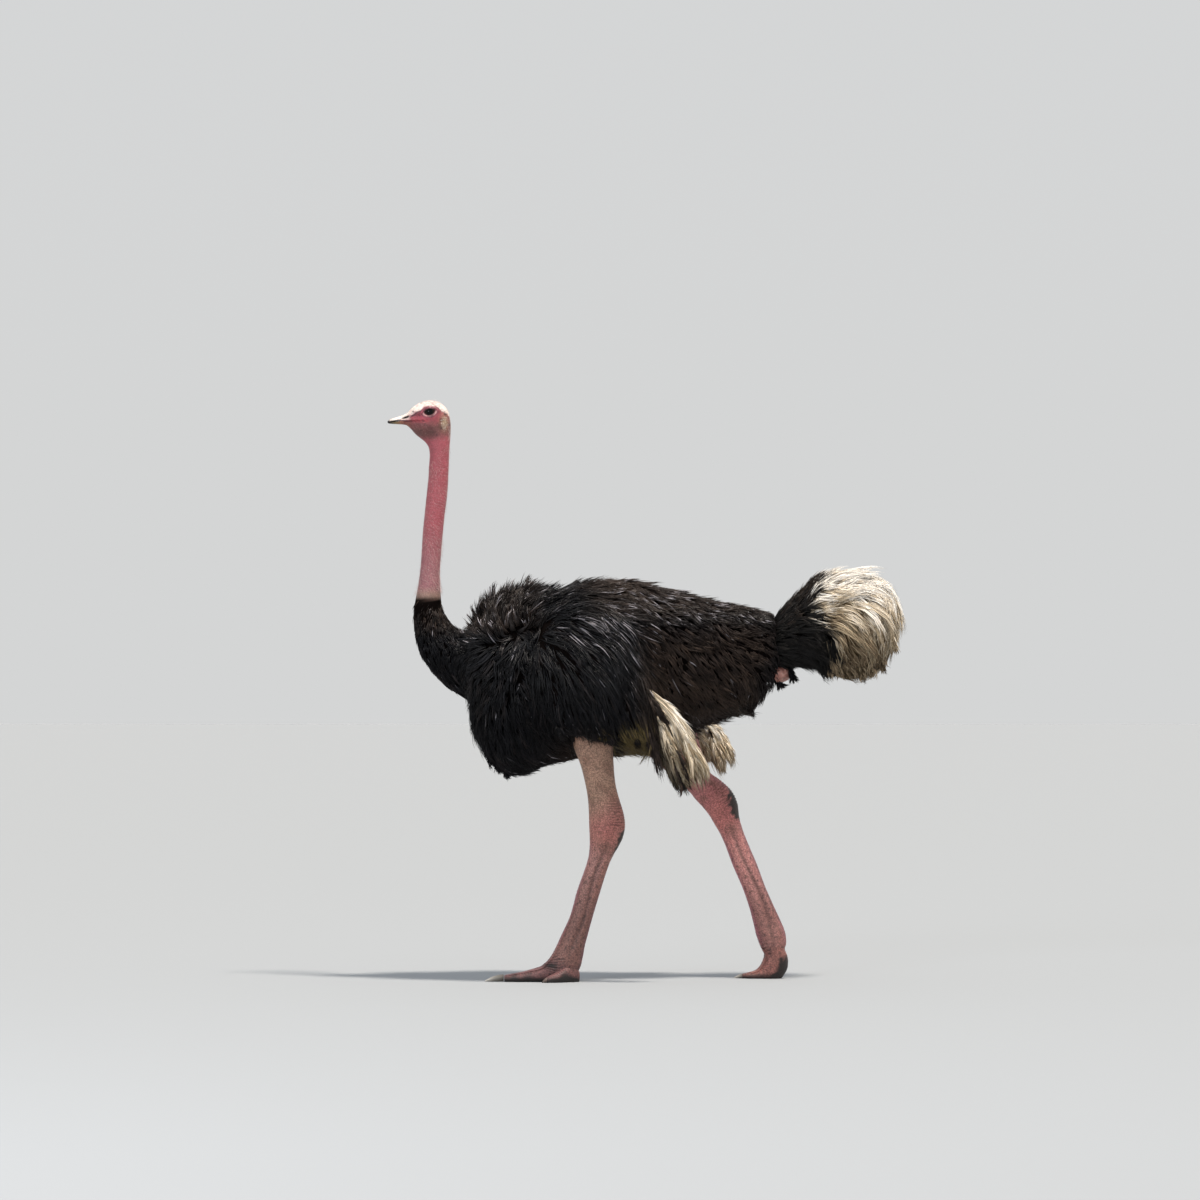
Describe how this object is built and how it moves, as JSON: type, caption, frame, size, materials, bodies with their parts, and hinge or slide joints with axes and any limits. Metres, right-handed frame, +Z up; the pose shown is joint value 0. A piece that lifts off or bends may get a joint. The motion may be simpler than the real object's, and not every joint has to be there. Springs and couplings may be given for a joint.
{
  "type": "ostrich",
  "caption": "Life-size still model of a male ostrich in mid stride, with bare neck and legs, black shaggy body, pale drooping plumes and two-toed feet that stand flat on a floor.",
  "frame": {"origin": "on the floor under the middle of the bird's bounding box", "axes": "+Z up, the bird walks towards -X, its left side faces -Y"},
  "size_m": [1.857, 0.6088, 2.088],
  "materials": {
    "bare_skin": "matte",
    "leg_skin": "satin",
    "upper_bill": "satin",
    "lower_bill": "satin",
    "claw": "satin",
    "eye": "glossy",
    "black_feathers": "matte",
    "white_feathers": "matte",
    "tail_feathers": "matte"
  },
  "bodies": {
    "root": {"head": "bare_skin", "bill_upper": "upper_bill", "bill_lower": "lower_bill", "eye_left": "eye", "eye_right": "eye", "neck_upper": "bare_skin", "neck_lower": "bare_skin", "neck_base": "black_feathers", "trunk": "black_feathers", "tail_coverts": "black_feathers", "tail_plume": "tail_feathers", "wing_left": "black_feathers", "wing_quills_left": "black_feathers", "wing_plumes_left": "white_feathers", "drumstick_left": "leg_skin", "ankle_left": "leg_skin", "shank_left": "leg_skin", "foot_left": "leg_skin", "big_toe_left": "leg_skin", "outer_toe_left": "leg_skin", "big_claw_left": "claw", "outer_claw_left": "claw", "wing_right": "black_feathers", "wing_quills_right": "black_feathers", "wing_plumes_right": "white_feathers", "drumstick_right": "leg_skin", "ankle_right": "leg_skin", "shank_right": "leg_skin", "foot_right": "leg_skin", "big_toe_right": "leg_skin", "outer_toe_right": "leg_skin", "big_claw_right": "claw", "outer_claw_right": "claw"}
  },
  "joints": []
}
